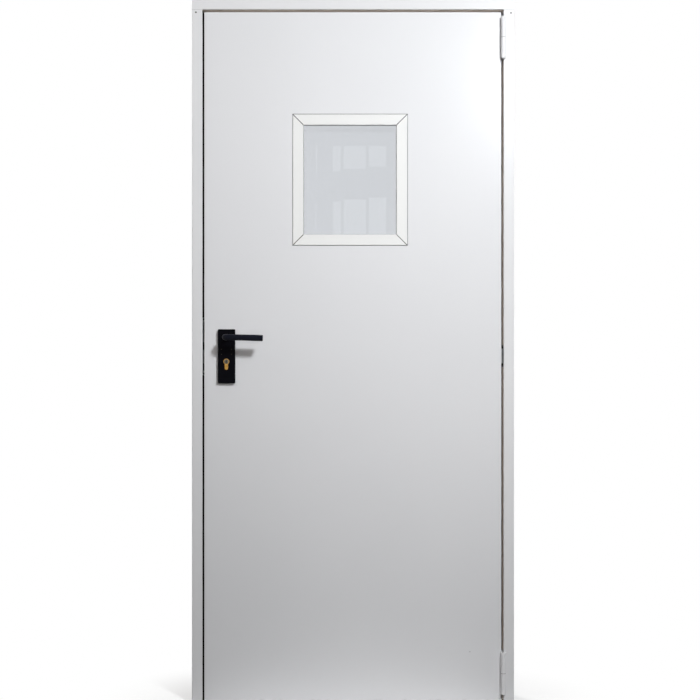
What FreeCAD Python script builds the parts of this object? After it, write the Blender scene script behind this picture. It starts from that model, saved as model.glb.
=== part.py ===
import FreeCAD, Part
import math
import os
import re
import Sketcher
from FreeCAD import Placement, Rotation, Vector

# Steel utility door: a folded-sheet frame (head and two jambs) with a flush, sheet-clad leaf,
# two barrel hinges, a mortise lock with lever handles and a small mitred window.
# Millimetres. X to the right, Z up, the front faces -Y. The origin lies on the wall face of the
# hinge-side jamb, at mid depth, on the metre mark above the finished floor.

doc = FreeCAD.newDocument("UtilityDoor")

# Driving dimensions
sizes = {
    "frame_width": 960.0,
    "frame_height": 2100.0,
    "frame_depth": 90.0,
    "metre_mark": 1000.0,
    "face_width": 31.0,
    "stop_depth": 55.0,
    "stop_width": 18.0,
    "frame_sheet": 1.5,
    "frame_bend": 1.7,
    "seam_gap": 1.0,
    "seal_height": 4.7,
    "seal_width": 10.0,
    "seal_base": 1.8,
    "seal_bulb": 2.3,
    "seal_wall": 0.9,
    "seal_setback": 2.0,
    "strip_thick": 1.0,
    "strip_width": 28.0,
    "strip_setback": 4.0,
    "gap_lock": 6.0,
    "gap_hinge": 7.0,
    "gap_head": 8.0,
    "gap_floor": 12.0,
    "leaf_thick": 50.0,
    "leaf_sheet": 1.0,
    "leaf_bend": 1.1,
    "rear_flange": 12.0,
    "channel_leg": 25.0,
    "backset": 67.0,
    "spindle_height": 1092.0,
    "cylinder_drop": 72.0,
    "plate_width": 51.0,
    "plate_height": 161.0,
    "plate_thick": 9.0,
    "plate_above": 24.0,
    "plate_corner": 3.0,
    "plate_edge": 1.2,
    "label_width": 34.0,
    "label_height": 20.0,
    "label_depth": 0.6,
    "label_drop": 42.0,
    "neck_depth": 5.0,
    "lever_reach": 52.0,
    "lever_length": 112.0,
    "lever_radius": 9.0,
    "lever_elbow": 11.0,
    "lever_edge": 0.8,
    "lever_droop": 1.5,
    "spindle_side": 8.0,
    "cylinder_radius": 8.5,
    "cylinder_web": 10.0,
    "cylinder_total": 33.0,
    "cylinder_proud": 1.5,
    "keyway_depth": 6.0,
    "keyway_width": 2.2,
    "keyway_height": 8.6,
    "faceplate_height": 235.0,
    "faceplate_width": 24.0,
    "faceplate_thick": 3.0,
    "faceplate_above": 78.0,
    "case_height": 165.0,
    "case_depth": 90.0,
    "case_thick": 15.0,
    "case_above": 48.0,
    "latch_height": 32.0,
    "latch_width": 12.0,
    "latch_rise": 4.0,
    "deadbolt_height": 38.0,
    "deadbolt_width": 10.0,
    "deadbolt_drop": 58.0,
    "bolt_length": 40.0,
    "strike_margin": 5.0,
    "strike_clear": 2.0,
    "strike_height": 170.0,
    "window_width": 340.5,
    "window_height": 389.3,
    "window_border": 31.5,
    "rear_border": 19.0,
    "window_offset": 8.9,
    "window_drop": 305.2,
    "trim_proud": 3.0,
    "trim_bevel": 0.6,
    "mitre_play": 0.9,
    "trim_lip": 2.0,
    "trim_lip_depth": 1.5,
    "trim_overlap": 10.0,
    "glass_thick": 4.0,
    "glazing_depth": 45.0,
    "glass_bite": 20.0,
    "spacer_width": 6.0,
    "spacer_inset": 1.0,
    "seal_cover": 6.0,
    "seal_show": 0.8,
    "hinge_inset": 33.3,
    "hinge_offset": 8.6,
    "hinge_radius": 7.3,
    "hinge_lower": 62.5,
    "hinge_upper": 61.5,
    "hinge_edge": 1.2,
    "washer_inset": 0.3,
    "washer_thick": 0.8,
    "hinge_play": 0.2,
    "hinge_drop": 15.5,
    "hinge_rise": 19.5,
    "flap_thick": 2.5,
    "flap_depth": 34.0,
    "pin_radius": 4.5,
    "pin_play": 0.05,
    "pin_foot": 7.0,
    "dog_drop": 55.5,
    "dog_tall": 44.0,
    "dog_thick": 5.0,
    "dog_reach": 14.0,
    "dog_setback": 22.0,
    "dog_plate": 1.0,
    "dog_margin": 5.0,
    "dog_play": 5.0,
    "keeper_flange": 5.0,
    "keeper_wall": 1.5,
    "keeper_thick": 1.0,
    "keeper_depth": 14.0,
    "fixing_radius": 5.5,
    "fixing_end": 250.0,
    "shaft_play": 0.1,
    "clear_play": 0.3,
    "end_play": 1.0,
    "overcut": 1.0,
}

# Planes and lines worked out from the sizes. Every name here may be used in another line.
lines = {
    "floor": "-metre_mark",
    "top": "frame_height - metre_mark",
    "left": "-frame_width",
    "front": "-frame_depth / 2",
    "back": "frame_depth / 2",
    "stop": "front + stop_depth",
    "reveal": "face_width + stop_width",
    "leaf_left": "left + face_width + gap_lock",
    "leaf_right": "-face_width - gap_hinge",
    "leaf_bottom": "floor + gap_floor",
    "leaf_top": "top - face_width - gap_head",
    "leaf_rear": "front + leaf_thick",
    "core_front": "front + leaf_sheet",
    "core_rear": "leaf_rear - leaf_sheet",
    "spindle_x": "leaf_left + backset",
    "spindle_z": "floor + spindle_height",
    "cylinder_z": "spindle_z - cylinder_drop",
    "plate_left": "spindle_x - plate_width / 2",
    "plate_right": "spindle_x + plate_width / 2",
    "plate_top": "spindle_z + plate_above",
    "plate_bottom": "plate_top - plate_height",
    "window_x": "-frame_width / 2 - window_offset",
    "half_x": "window_width / 2",
    "half_z": "window_height / 2",
    "window_z": "leaf_top - window_drop - half_z",
    "sight_x": "half_x - window_border",
    "sight_z": "half_z - window_border",
    "rear_sight_x": "half_x - rear_border",
    "rear_sight_z": "half_z - rear_border",
    "cut_x": "half_x - trim_overlap",
    "cut_z": "half_z - trim_overlap",
    "glass_x": "sight_x + glass_bite",
    "glass_z": "sight_z + glass_bite",
    "glass_front": "front + (leaf_thick - glazing_depth) / 2",
    "glass_rear": "glass_front + glazing_depth",
    "hinge_x": "-hinge_inset",
    "hinge_y": "front - hinge_offset",
    "hinge_total": "hinge_lower + washer_thick + hinge_play + hinge_upper",
    "dog_z": "spindle_z - dog_drop",
    "dog_y": "front + dog_setback",
    "case_top": "spindle_z + case_above",
    "face_top": "spindle_z + faceplate_above",
    "face_mid": "front + leaf_thick / 2",
    "latch_z": "spindle_z + latch_rise",
    "deadbolt_z": "spindle_z - deadbolt_drop",
    "strike_z": "(latch_z + deadbolt_z) / 2",
}

sheet = doc.addObject("Spreadsheet::Sheet", "Sizes")
for row, (word, value) in enumerate(sizes.items(), start=1):
    sheet.set("A%d" % row, word)
    sheet.set("B%d" % row, "%g" % value)
    sheet.setAlias("B%d" % row, word)
doc.recompute()


def bound(text):
    """Spell out a line in terms of the sheet's cells."""
    def word(match):
        name = match.group(0)
        if name in lines:
            return "(" + bound(lines[name]) + ")"
        if name in sizes:
            return "Sizes." + name
        return name
    return re.sub(r"[a-z][a-z_]*", word, str(text))


def place(thing, x="0", y="0", z="0"):
    """Bind the place of an object to three lines."""
    for axis, text in zip("xyz", (x, y, z)):
        thing.setExpression("Placement.Base." + axis, bound(text))
    return thing


# Primitives and booleans
def box(label, x, y, z):
    """A block between two planes along each axis."""
    thing = doc.addObject("Part::Box", label)
    for side, (low, high) in zip(("Length", "Width", "Height"), (x, y, z)):
        thing.setExpression(side, bound("(%s) - (%s)" % (high, low)))
    return place(thing, x[0], y[0], z[0])


ALONG = {
    "x": Rotation(Vector(0, 1, 0), 90),
    "y": Rotation(Vector(1, 0, 0), -90),
    "z": Rotation(),
}


def rod(label, axis, start, radius, length):
    """A cylinder from its start point along +X, +Y or +Z."""
    thing = doc.addObject("Part::Cylinder", label)
    thing.Placement = Placement(Vector(), ALONG[axis])
    thing.setExpression("Radius", bound(radius))
    thing.setExpression("Height", bound(length))
    return place(thing, *start)


def join(label, parts):
    if len(parts) == 1:
        return parts[0]
    thing = doc.addObject("Part::MultiFuse", label)
    thing.Shapes = parts
    return thing


def cut(label, base, tools):
    thing = doc.addObject("Part::Cut", label)
    thing.Base = base
    thing.Tool = join(label + "_tools", tools)
    return thing


def group(label, parts):
    """Like pieces that don't touch, kept as one node."""
    thing = doc.addObject("Part::Compound", label)
    thing.Links = parts
    return thing


# Bodies and sketches
def body(label, y="0"):
    thing = doc.addObject("PartDesign::Body", label)
    thing.Label = label
    return place(thing, "0", y, "0")


def plane(owner, role):
    return [item for item in owner.Origin.OriginFeatures if item.Role == role][0]


def outline(owner, name, role, corners, offset=None):
    """A closed outline of straight edges; each corner is a pair of lines."""
    sketch = owner.newObject("Sketcher::SketchObject", name)
    sketch.AttachmentSupport = [(plane(owner, role), "")]
    sketch.MapMode = "FlatFace"
    if offset is not None:
        sketch.setExpression("AttachmentOffset.Base.z", bound(offset))
    count = len(corners)
    ring = [2 * math.pi * step / count for step in range(count)]
    start = [Vector(10 * math.cos(turn), 10 * math.sin(turn), 0) for turn in ring]
    for step in range(count):
        sketch.addGeometry(Part.LineSegment(start[step], start[(step + 1) % count]))
    for step in range(count):
        sketch.addConstraint(Sketcher.Constraint("Coincident", step, 2, (step + 1) % count, 1))
    for step, corner in enumerate(corners):
        for kind, text, value in zip(("DistanceX", "DistanceY"), corner, start[step]):
            index = sketch.addConstraint(Sketcher.Constraint(kind, -1, 1, step, 1, value))
            sketch.renameConstraint(index, "%s%d" % (kind, step))
            sketch.setExpression("Constraints.%s%d" % (kind, step), bound(text))
    return sketch


def rectangle(owner, name, role, across, up, offset=None):
    corners = [(across[0], up[0]), (across[1], up[0]), (across[1], up[1]), (across[0], up[1])]
    return outline(owner, name, role, corners, offset)


def pad(owner, name, sketch, length, reverse=False):
    thing = owner.newObject("PartDesign::Pad", name)
    thing.Profile = sketch
    thing.setExpression("Length", bound(length))
    thing.Reversed = reverse
    return thing


def pocket(owner, name, sketch, length, reverse=False):
    thing = owner.newObject("PartDesign::Pocket", name)
    thing.Profile = sketch
    thing.setExpression("Length", bound(length))
    thing.Reversed = reverse
    return thing


X_WAY, Y_WAY, Z_WAY = Vector(1, 0, 0), Vector(0, 1, 0), Vector(0, 0, 1)
NEAR = 0.01


def runs(edge, along):
    """Whether an edge is straight and parallel to an axis."""
    straight = isinstance(edge.Curve, Part.Line)
    return straight and edge.tangentAt(edge.FirstParameter).cross(along).Length < NEAR


def ease(owner, kind, size, wanted):
    """Fillet or chamfer the edges of a body's last feature that pass a test."""
    doc.recompute()
    last = owner.Tip
    chosen = ["Edge%d" % index for index, edge in enumerate(last.Shape.Edges, start=1) if wanted(edge)]
    thing = owner.newObject("PartDesign::" + kind, "%s_%s" % (owner.Name, size))
    thing.Base = (last, chosen)
    thing.setExpression("Radius" if kind == "Fillet" else "Size", bound(size))
    return thing


nodes = []


def keep(thing, label):
    thing.Label = label
    nodes.append(thing)
    return thing


# Frame profile: one folded sheet, from the wall leg round the face, rebate, stop and throat
# to the rear flange. across is measured inwards from the wall face, deep is along Y.
def folded_profile(across):
    sheet_in = "frame_sheet"
    outer = [
        ("0", "back"),
        ("0", "front"),
        ("face_width", "front"),
        ("face_width", "stop"),
        ("reveal", "stop"),
        ("reveal", "back"),
        (sheet_in + " + seam_gap", "back"),
    ]
    inner = [
        (sheet_in + " + seam_gap", "back - " + sheet_in),
        ("reveal - " + sheet_in, "back - " + sheet_in),
        ("reveal - " + sheet_in, "stop + " + sheet_in),
        ("face_width - " + sheet_in, "stop + " + sheet_in),
        ("face_width - " + sheet_in, "front + " + sheet_in),
        (sheet_in, "front + " + sheet_in),
        (sheet_in, "back"),
    ]
    return [(across % inward, deep) for inward, deep in outer + inner]


def round_folds(owner, along, wall, inward):
    """Round the outside folds of a profile: both edges of the face, the stop and the rear flange."""
    half = sizes["frame_depth"] / 2
    stop = -half + sizes["stop_depth"]
    face = sizes["face_width"]
    reveal = face + sizes["stop_width"]
    folds = [wall + inward * across + Vector(0, deep, 0)
             for across, deep in ((0, -half), (face, -half), (reveal, stop), (reveal, half))]

    def wanted(edge):
        near = [fold for fold in folds if (edge.CenterOfMass - fold).cross(along).Length < NEAR]
        return runs(edge, along) and bool(near)

    return ease(owner, "Fillet", "frame_bend", wanted)


def jamb(label, across, wall, inward):
    """A jamb from the floor to the head's underside."""
    owner = body(label)
    section = outline(owner, label + "_section", "XY_Plane", folded_profile(across), "floor")
    pad(owner, label + "_pad", section, "frame_height - face_width")
    round_folds(owner, Z_WAY, wall, inward)
    return owner


jamb_hinge = jamb("hinge_jamb_profile", "-(%s)", Vector(), -X_WAY)
jamb_lock = jamb("lock_jamb_profile", "left + (%s)", Vector(-sizes["frame_width"], 0, 0), X_WAY)


def fixing_holes(label, low, high):
    """Three holes across the jamb, behind the leaf, for the screws into the wall."""
    heights = {"low": "floor + fixing_end", "middle": "(floor + top) / 2", "high": "top - fixing_end"}
    return [
        rod("%s_%s" % (label, name), "x", (low, "(stop + back) / 2", height), "fixing_radius",
            "(%s) - (%s)" % (high, low))
        for name, height in heights.items()
    ]


# Lock side: the strike plate's opening is cut in the rebate. Hinge side: the keeper's.
strike_low = "strike_z - strike_height / 2"
strike_high = "strike_z + strike_height / 2"
latch_gap = box("latch_gap",
                ("left + face_width - frame_sheet - overcut", "left + face_width + overcut"),
                ("face_mid - latch_width / 2 - strike_margin", "face_mid + latch_width / 2 + strike_margin"),
                ("deadbolt_z - deadbolt_height / 2 - strike_margin",
                 "latch_z + latch_height / 2 + strike_margin"))
keep(cut("jamb_lock_cut", jamb_lock,
         fixing_holes("lock_fixing", "left - overcut", "left + reveal + overcut") + [latch_gap]),
     "frame_jamb_lock_side")

keeper_half_y = "dog_thick / 2 + dog_play"
keeper_half_z = "dog_tall / 2 + dog_play"
keeper_hole = box("keeper_hole",
                  ("-face_width - overcut", "-face_width + frame_sheet + overcut"),
                  ("dog_y - (%s) - keeper_wall" % keeper_half_y, "dog_y + %s + keeper_wall" % keeper_half_y),
                  ("dog_z - (%s) - keeper_wall" % keeper_half_z, "dog_z + %s + keeper_wall" % keeper_half_z))
keep(cut("jamb_hinge_cut", jamb_hinge,
         fixing_holes("hinge_fixing", "-reveal - overcut", "overcut") + [keeper_hole]),
     "frame_jamb_hinge_side")

# Head: the same profile on its side, notched over the jambs' throats, with folded end tabs.
head = body("head_profile")
head_section = outline(head, "head_section", "YZ_Plane",
                       [(deep, up) for up, deep in folded_profile("top - (%s)")], "left")
pad(head, "head_pad", head_section, "frame_width")
round_folds(head, X_WAY, Vector(0, 0, sizes["frame_height"] - sizes["metre_mark"]), -Z_WAY)
notches = [
    box("notch_" + side, across, ("front - overcut", "back + overcut"), ("top - reveal - overcut", "top - face_width"))
    for side, across in (("lock", ("left - overcut", "left + reveal")), ("hinge", ("-reveal", "overcut")))
]
tabs = [
    box("tab_" + side, across, ("front + frame_sheet", "back - frame_sheet"),
        ("top - face_width", "top - frame_sheet"))
    for side, across in (("lock", ("left", "left + frame_sheet")), ("hinge", ("-frame_sheet", "0")))
]
corners = [
    box("corner_" + side, across, ("front", "front + frame_sheet"),
        ("top - face_width", "top - face_width + frame_bend"))
    for side, across in (("lock", ("left + frame_bend", "left + face_width")),
                         ("hinge", ("-face_width", "-frame_bend")))
]
keep(join("head_with_tabs", [cut("head_cut", head, notches)] + tabs + corners), "frame_head")

# Closing seals on the stop, just behind the leaf
def seal(label, axis, low, high, across):
    """A flat foot on the stop under a hollow bulb; across is the line of its middle."""
    base_y = ("stop - seal_base", "stop")
    bulb_y = "stop - seal_height + seal_bulb"
    foot = (across + " - seal_width / 2", across + " + seal_width / 2")
    span = "(%s) - (%s)" % (high, low)
    if axis == "z":
        base = box(label + "_foot", foot, base_y, (low, high))
        start = (across, bulb_y, low)
    else:
        base = box(label + "_foot", (low, high), base_y, foot)
        start = (low, bulb_y, across)
    bulb = rod(label + "_bulb", axis, start, "seal_bulb", span)
    bore = rod(label + "_bore", axis, start, "seal_bulb - seal_wall", span)
    return cut(label + "_cut", join(label + "_solid", [base, bulb]), [bore])


seal_line = "reveal - seal_setback - seal_width / 2"
seal_top = "top - face_width - end_play"
keep(seal("seal_hinge", "z", "floor", seal_top, "-(%s)" % seal_line), "frame_seal_hinge_side")
keep(seal("seal_lock", "z", "floor", seal_top, "left + %s" % seal_line), "frame_seal_lock_side")
keep(seal("seal_head", "x", "left + reveal - seal_setback + clear_play", "-reveal + seal_setback - clear_play",
          "top - (%s)" % seal_line), "frame_seal_head")

# Flat strips in the rebate, seen through the gap round the leaf
strip_y = ("front + strip_setback", "front + strip_setback + strip_width")
flap_y = ("hinge_y", "front + flap_depth")


def hinge_span(low):
    """Bottom, split, upper barrel's foot and top of a hinge."""
    split = "%s + hinge_lower" % low
    above = "%s + washer_thick + hinge_play" % split
    return low, split, above, "%s + hinge_upper" % above


top_hinge = hinge_span("leaf_top - hinge_drop - hinge_total")
low_hinge = hinge_span("leaf_bottom + hinge_rise")
keeper_span = ("dog_z - (%s) - keeper_flange" % keeper_half_z, "dog_z + %s + keeper_flange" % keeper_half_z)
spans = [
    ("floor + end_play", low_hinge[0] + " - end_play"),
    (low_hinge[3] + " + end_play", keeper_span[0] + " - end_play"),
    (keeper_span[1] + " + end_play", top_hinge[0] + " - end_play"),
]
keep(group("strip_hinge", [
    box("strip_hinge_%d" % number, ("-face_width - strip_thick", "-face_width"), strip_y, span)
    for number, span in enumerate(spans, start=1)]), "frame_strip_hinge_side")
lock_spans = [
    ("floor + end_play", strike_low + " - end_play"),
    (strike_high + " + end_play", "top - face_width - strip_thick - end_play"),
]
keep(group("strip_lock", [
    box("strip_lock_%d" % number, ("left + face_width", "left + face_width + strip_thick"), strip_y, span)
    for number, span in enumerate(lock_spans, start=1)]), "frame_strip_lock_side")
keep(box("strip_head", ("left + face_width", "-face_width"), strip_y,
         ("top - face_width - strip_thick", "top - face_width")), "frame_strip_head")

# Strike plate on the lock-side rebate, with an opening for each bolt
strike = box("strike_blank", ("left + face_width", "left + face_width + strip_thick"),
             ("face_mid - faceplate_width / 2", "face_mid + faceplate_width / 2"), (strike_low, strike_high))
strike_through = ("left + face_width - overcut", "left + face_width + strip_thick + overcut")
strike_across = ("face_mid - latch_width / 2 - strike_clear", "face_mid + latch_width / 2 + strike_clear")
strike_holes = [
    box("strike_" + name, strike_through, strike_across,
        ("%s - %s / 2 - strike_clear" % (middle, tall), "%s + %s / 2 + strike_clear" % (middle, tall)))
    for name, middle, tall in (("latch", "latch_z", "latch_height"), ("bolt", "deadbolt_z", "deadbolt_height"))
]
keep(cut("strike_cut", strike, strike_holes), "strike_plate")

# Keeper cup for the dog bolt, let into the hinge-side rebate
keeper_wall_y = keeper_half_y + " + keeper_wall"
keeper_wall_z = keeper_half_z + " + keeper_wall"
keeper_rim = box("keeper_rim", ("-face_width - keeper_thick", "-face_width"),
                 ("dog_y - (%s) - keeper_flange" % keeper_half_y, "dog_y + %s + keeper_flange" % keeper_half_y),
                 keeper_span)
keeper_cup = box("keeper_cup", ("-face_width", "-face_width + keeper_depth"),
                 ("dog_y - (%s)" % keeper_wall_y, "dog_y + " + keeper_wall_y),
                 ("dog_z - (%s)" % keeper_wall_z, "dog_z + " + keeper_wall_z))
keeper_room = box("keeper_room", ("-face_width - keeper_thick - overcut", "-face_width + keeper_depth - keeper_wall"),
                  ("dog_y - (%s)" % keeper_half_y, "dog_y + " + keeper_half_y),
                  ("dog_z - (%s)" % keeper_half_z, "dog_z + " + keeper_half_z))
keep(cut("keeper_cut", join("keeper_solid", [keeper_rim, keeper_cup]), [keeper_room]), "dog_bolt_keeper")

# Dog bolt: a flat tongue on a small plate on the leaf's hinge edge
dog_plate = box("dog_plate", ("leaf_right", "leaf_right + dog_plate"),
                ("dog_y - dog_thick / 2 - dog_margin", "dog_y + dog_thick / 2 + dog_margin"),
                ("dog_z - dog_tall / 2", "dog_z + dog_tall / 2"))
dog_tongue = box("dog_tongue", ("leaf_right", "leaf_right + dog_reach"),
                 ("dog_y - dog_thick / 2", "dog_y + dog_thick / 2"),
                 ("dog_z - dog_tall / 2", "dog_z + dog_tall / 2"))
keep(join("dog_joined", [dog_plate, dog_tongue]), "dog_bolt")


# Hinges: two barrels a side, each with a flap into the gap, on a pin held by the lower barrel
def barrel(label, low, height, flap_x, bore, rim_z):
    """A bored barrel and its flap; rim_z is the height of the end that shows, above the barrel's foot."""
    owner = body(label)
    solid = owner.newObject("PartDesign::AdditiveCylinder", label + "_barrel")
    solid.setExpression("Radius", bound("hinge_radius"))
    solid.setExpression("Height", bound(height))
    place(owner, "hinge_x", "hinge_y", low)
    ease(owner, "Chamfer", "hinge_edge", lambda edge: abs(edge.CenterOfMass.z - rim_z) < NEAR)
    flap = box(label + "_flap", flap_x, flap_y, ("%s + hinge_edge" % low, "%s + %s - hinge_edge" % (low, height)))
    hole = rod(label + "_bore", "z", ("hinge_x", "hinge_y", bore[0]), "pin_radius + pin_play", bore[1])
    return cut(label + "_cut", join(label + "_solid", [owner, flap]), [hole])


washers = []
pins = []
for name, span in (("top", top_hinge), ("bottom", low_hinge)):
    low, split, above, high = span
    frame_flap = ("-face_width - flap_thick", "-face_width")
    leaf_flap = ("leaf_right", "leaf_right + flap_thick")
    keep(barrel("frame_barrel_" + name, low, "hinge_lower", frame_flap,
                (low + " + pin_foot", "hinge_lower"), 0), "hinge_frame_knuckle_" + name)
    keep(barrel("leaf_barrel_" + name, above, "hinge_upper", leaf_flap,
                (split, "hinge_upper + hinge_lower"), sizes["hinge_upper"]), "hinge_leaf_knuckle_" + name)
    disc = rod("washer_disc_" + name, "z", ("hinge_x", "hinge_y", split), "hinge_radius - washer_inset",
               "washer_thick")
    hole = rod("washer_hole_" + name, "z", ("hinge_x", "hinge_y", low), "pin_radius + pin_play", "hinge_total")
    washers.append(cut("washer_" + name, disc, [hole]))
    pins.append(rod("pin_" + name, "z", ("hinge_x", "hinge_y", low + " + pin_foot"), "pin_radius",
                    "hinge_total - pin_foot"))
keep(group("washer_pair", washers), "hinge_washers")
keep(group("pin_pair", pins), "hinge_pins")


# Cylinder profile: a round barrel over a straight web with a round foot
def cylinder_shape(label, grow, y):
    """The keyhole-shaped lock cylinder as a solid along Y."""
    depth = "(%s) - (%s)" % (y[1], y[0])
    start_y = y[0]
    radius = "cylinder_radius + " + grow
    foot = "cylinder_web / 2 + " + grow
    round_top = rod(label + "_round", "y", ("spindle_x", start_y, "cylinder_z"), radius, depth)
    foot_z = "cylinder_z + cylinder_radius - cylinder_total + cylinder_web / 2"
    web = box(label + "_web", ("spindle_x - (%s)" % foot, "spindle_x + " + foot), y, (foot_z, "cylinder_z"))
    round_foot = rod(label + "_foot", "y", ("spindle_x", start_y, foot_z), foot, depth)
    return join(label + "_solid", [round_top, web, round_foot])


def keyhole(label, y):
    return cylinder_shape(label, "clear_play / 2", y)


def spindle_hole(label, y):
    return rod(label, "y", ("spindle_x", y[0], "spindle_z"), "lever_radius + shaft_play",
               "(%s) - (%s)" % (y[1], y[0]))


# Leaf: front tray, rear cover, bottom channel and core
def window_hole(label, y, half_x="cut_x", half_z="cut_z"):
    return box(label, ("window_x - %s" % half_x, "window_x + %s" % half_x), y,
               ("window_z - %s" % half_z, "window_z + %s" % half_z))


tray = body("front_tray", "front")
pad(tray, "tray_pad",
    rectangle(tray, "tray_outline", "XZ_Plane", ("leaf_left", "leaf_right"), ("leaf_bottom", "leaf_top")),
    "leaf_thick - leaf_sheet", reverse=True)
pocket(tray, "tray_room",
       rectangle(tray, "tray_inside", "XZ_Plane", ("leaf_left + leaf_sheet", "leaf_right - leaf_sheet"),
                 ("leaf_bottom - overcut", "leaf_top - leaf_sheet"), "-leaf_thick"),
       "leaf_thick - leaf_sheet", reverse=True)


def tray_fold(edge):
    """The folds round the front of the leaf: both sides and the top."""
    middle = edge.CenterOfMass
    return abs(middle.y) < NEAR and middle.z > sizes["gap_floor"] - sizes["metre_mark"] + NEAR


ease(tray, "Fillet", "leaf_bend", tray_fold)
face_y = ("face_mid - faceplate_width / 2", "face_mid + faceplate_width / 2")
face_z = ("face_top - faceplate_height", "face_top")
tray_holes = [
    window_hole("tray_window", ("front - overcut", "core_front + overcut")),
    spindle_hole("tray_spindle", ("front - overcut", "core_front + overcut")),
    keyhole("tray_cylinder", ("front - overcut", "core_front + overcut")),
    box("tray_faceplate", ("leaf_left - overcut", "leaf_left + leaf_sheet + overcut"), face_y, face_z),
]
keep(cut("tray_cut", tray, tray_holes), "leaf_front_sheet")

cover = body("rear_cover", "leaf_rear")
pad(cover, "cover_pad",
    rectangle(cover, "cover_outline", "XZ_Plane", ("leaf_left", "leaf_right"), ("leaf_bottom", "leaf_top")),
    "leaf_sheet")
pad(cover, "cover_flange",
    rectangle(cover, "flange_outline", "XZ_Plane", ("leaf_left + leaf_sheet", "leaf_right - leaf_sheet"),
              ("leaf_bottom", "leaf_top - leaf_sheet")), "leaf_sheet + rear_flange")
pocket(cover, "cover_room",
       rectangle(cover, "flange_inside", "XZ_Plane",
                 ("leaf_left + 2 * leaf_sheet", "leaf_right - 2 * leaf_sheet"),
                 ("leaf_bottom - overcut", "leaf_top - 2 * leaf_sheet"), "leaf_sheet"),
       "rear_flange + overcut", reverse=True)
cover_holes = [
    window_hole("cover_window", ("core_rear - overcut", "leaf_rear + overcut")),
    spindle_hole("cover_spindle", ("core_rear - overcut", "leaf_rear + overcut")),
    keyhole("cover_cylinder", ("core_rear - overcut", "leaf_rear + overcut")),
]
keep(cut("cover_cut", cover, cover_holes), "leaf_rear_sheet")

inner_x = ("leaf_left + 2 * leaf_sheet", "leaf_right - 2 * leaf_sheet")
inner_y = ("core_front", "core_rear")
channel = box("channel_block", inner_x, inner_y, ("leaf_bottom", "leaf_bottom + channel_leg"))
channel_room = box("channel_room", ("leaf_left", "leaf_right"), ("core_front + leaf_sheet", "core_rear - leaf_sheet"),
                   ("leaf_bottom + leaf_sheet", "leaf_bottom + channel_leg + overcut"))
keep(cut("channel_cut", channel, [channel_room]), "leaf_bottom_channel")

case_y = ("face_mid - case_thick / 2", "face_mid + case_thick / 2")
case_z = ("case_top - case_height", "case_top")
case_x = ("leaf_left + faceplate_thick", "leaf_left + faceplate_thick + case_depth")
core_block = box("core_block", inner_x, inner_y, ("leaf_bottom + channel_leg", "leaf_top - 2 * leaf_sheet"))
core_holes = [
    window_hole("core_window", ("front - overcut", "leaf_rear + overcut")),
    box("core_case", ("leaf_left", case_x[1] + " + overcut"), case_y, case_z),
    box("core_faceplate", ("leaf_left", "leaf_left + faceplate_thick"), face_y, face_z),
    box("core_furniture", ("spindle_x - lever_radius - clear_play", "spindle_x + lever_radius + clear_play"),
        ("front - overcut", "leaf_rear + overcut"),
        ("cylinder_z + cylinder_radius - cylinder_total - clear_play", "spindle_z + lever_radius + clear_play")),
]
keep(cut("core_cut", core_block, core_holes), "leaf_core")

# Lock: faceplate, case and the two bolts, drawn back flush with the faceplate
latch_z_span = ("latch_z - latch_height / 2", "latch_z + latch_height / 2")
bolt_z_span = ("deadbolt_z - deadbolt_height / 2", "deadbolt_z + deadbolt_height / 2")
latch_y = ("face_mid - latch_width / 2", "face_mid + latch_width / 2")
bolt_y = ("face_mid - deadbolt_width / 2", "face_mid + deadbolt_width / 2")


def grown(span, by):
    return ("%s - %s" % (span[0], by), "%s + %s" % (span[1], by))


bolt_spans = (("latch", latch_y, latch_z_span), ("bolt", bolt_y, bolt_z_span))
plate_blank = box("faceplate_blank", ("leaf_left", "leaf_left + faceplate_thick"), face_y, face_z)
keep(cut("faceplate_cut", plate_blank,
         [box("faceplate_" + name, ("leaf_left - overcut", case_x[0] + " + overcut"), grown(wide, "clear_play"),
              grown(tall, "clear_play"))
          for name, wide, tall in bolt_spans]), "lock_faceplate")
case_block = box("case_block", case_x, case_y, case_z)
case_holes = [
    box("case_" + name, (case_x[0] + " - overcut", "leaf_left + bolt_length"), grown(wide, "clear_play"),
        grown(tall, "clear_play"))
    for name, wide, tall in bolt_spans
]
case_holes.append(box("case_spindle", ("spindle_x - lever_radius", "spindle_x + lever_radius"), ("front", "leaf_rear"),
                      ("spindle_z - lever_radius", "spindle_z + lever_radius")))
case_holes.append(keyhole("case_cylinder", ("front", "leaf_rear")))
keep(cut("case_cut", case_block, case_holes), "lock_case")
keep(box("latch_block", ("leaf_left", "leaf_left + bolt_length"), latch_y, latch_z_span), "latch_bolt")
keep(box("deadbolt_block", ("leaf_left", "leaf_left + bolt_length"), bolt_y, bolt_z_span), "deadbolt")

# Lock cylinder through both handle plates, with a keyway in each end
cylinder_y = ("front - plate_thick - cylinder_proud", "leaf_rear + plate_thick + cylinder_proud")
cylinder = cylinder_shape("cylinder", "0", cylinder_y)
keyways = [
    box("keyway_" + name, ("spindle_x - keyway_width / 2", "spindle_x + keyway_width / 2"), deep,
        ("cylinder_z - keyway_height / 2", "cylinder_z + keyway_height / 2"))
    for name, deep in (("front", (cylinder_y[0] + " - overcut", cylinder_y[0] + " + keyway_depth")),
                       ("rear", (cylinder_y[1] + " - keyway_depth", cylinder_y[1] + " + overcut")))
]

keep(cut("cylinder_cut", cylinder, keyways), "lock_cylinder")


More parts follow.
